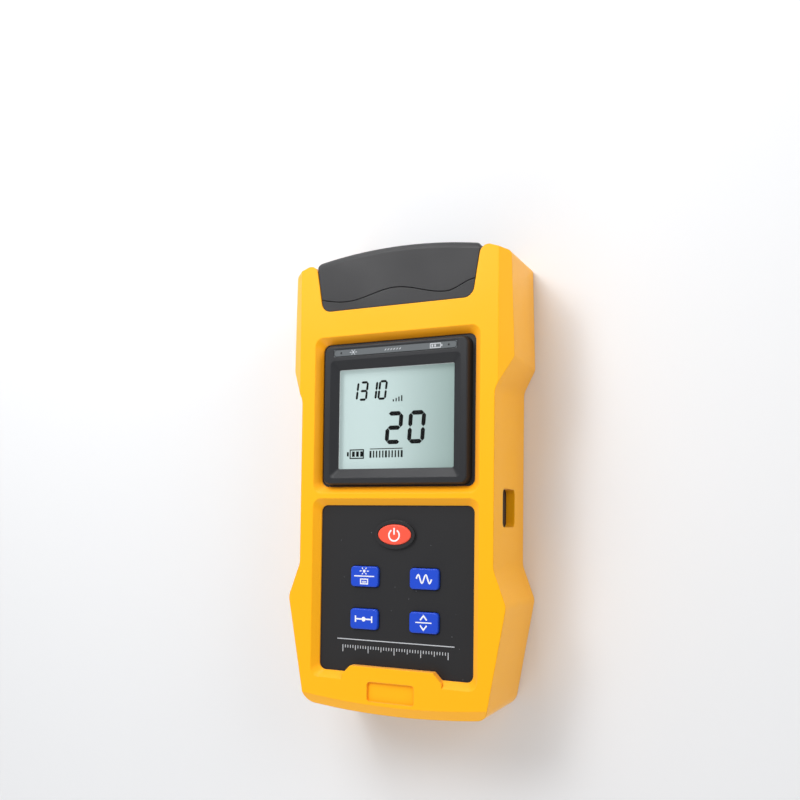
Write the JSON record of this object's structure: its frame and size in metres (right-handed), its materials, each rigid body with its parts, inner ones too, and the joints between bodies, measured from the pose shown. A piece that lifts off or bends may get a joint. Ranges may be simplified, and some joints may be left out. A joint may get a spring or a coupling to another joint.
{
  "type": "optical power meter",
  "caption": "Handheld fibre optic power meter in a waisted rubber holster, with a framed display, oval power key, square keys and a hinged dust cover over its end ports.",
  "frame": {"origin": "centre of the footprint, on the surface that the meter's back lies on", "axes": "+X to the right across the face, +Y along the meter towards its connector end, +Z out of the face"},
  "size_m": [0.0904, 0.1737, 0.0353],
  "materials": {
    "rubber_yellow": "satin",
    "housing_dark": "fine texture",
    "cover_grey": "satin",
    "frame_dark": "satin",
    "strip_grey": "satin",
    "panel_dark": "fine speckle",
    "key_blue": "satin",
    "key_red": "satin",
    "steel": "bright",
    "nickel": "bright",
    "brass": "turned",
    "board_green": "solder mask",
    "chip_black": "moulded",
    "clear": "polished",
    "lcd": "polarised",
    "light_guide": "translucent",
    "tray_white": "moulded",
    "silicone": "soft",
    "cell_wrap": "shrink wrap"
  },
  "bodies": {
    "housing": {"holster": "rubber_yellow", "front_housing": "cover_grey", "rear_housing": "housing_dark", "cover_pin": "steel", "end_plate": "housing_dark", "optical_port": "nickel", "fault_port": "nickel", "port_nuts": "brass", "light_detector": "steel", "laser_module": "brass", "network_jack": "chip_black", "jack_contacts": "brass", "charge_socket": "nickel", "charge_board": "board_green", "display_frame": "frame_dark", "indicator_strip": "strip_grey", "lamp_guides": "light_guide", "status_lamps": "light_guide", "display_lens": "clear", "lcd_panel": "lcd", "lcd_tray": "tray_white", "lcd_backlight": "light_guide", "lcd_contacts": "silicone", "keypad_panel": "panel_dark", "keypad_mat": "silicone", "power_web": "silicone", "reference_web": "silicone", "unit_web": "silicone", "fault_web": "silicone", "wavelength_web": "silicone", "main_board": "board_green", "board_screws": "steel", "board_chips": "chip_black", "buzzer": "chip_black", "housing_screws": "steel", "battery_cell": "cell_wrap", "battery_contacts": "nickel", "battery_door": "housing_dark", "door_screw": "steel"},
    "cover": {"dust_cover": "cover_grey"},
    "power_button": {"power_key": "key_red"},
    "reference_button": {"reference_key": "key_blue"},
    "unit_button": {"unit_key": "key_blue"},
    "fault_button": {"fault_key": "key_blue"},
    "wavelength_button": {"wavelength_key": "key_blue"}
  },
  "joints": [
    {"name": "cover_hinge", "type": "hinge", "parent": "housing", "child": "cover", "pos_m": [0, 0.06935, 0.0062], "axis": [-1, 0, 0], "range_deg": [0, 105]},
    {"name": "power_press", "type": "slide", "parent": "housing", "child": "power_button", "axis": [0, 0, -1], "range_m": [0, 0.001], "stiffness_N_per_m": 1500, "deforming": ["power_web"]},
    {"name": "reference_press", "type": "slide", "parent": "housing", "child": "reference_button", "axis": [0, 0, -1], "range_m": [0, 0.001], "stiffness_N_per_m": 1500, "deforming": ["reference_web"]},
    {"name": "unit_press", "type": "slide", "parent": "housing", "child": "unit_button", "axis": [0, 0, -1], "range_m": [0, 0.001], "stiffness_N_per_m": 1500, "deforming": ["unit_web"]},
    {"name": "fault_press", "type": "slide", "parent": "housing", "child": "fault_button", "axis": [0, 0, -1], "range_m": [0, 0.001], "stiffness_N_per_m": 1500, "deforming": ["fault_web"]},
    {"name": "wavelength_press", "type": "slide", "parent": "housing", "child": "wavelength_button", "axis": [0, 0, -1], "range_m": [0, 0.001], "stiffness_N_per_m": 1500, "deforming": ["wavelength_web"]}
  ]
}
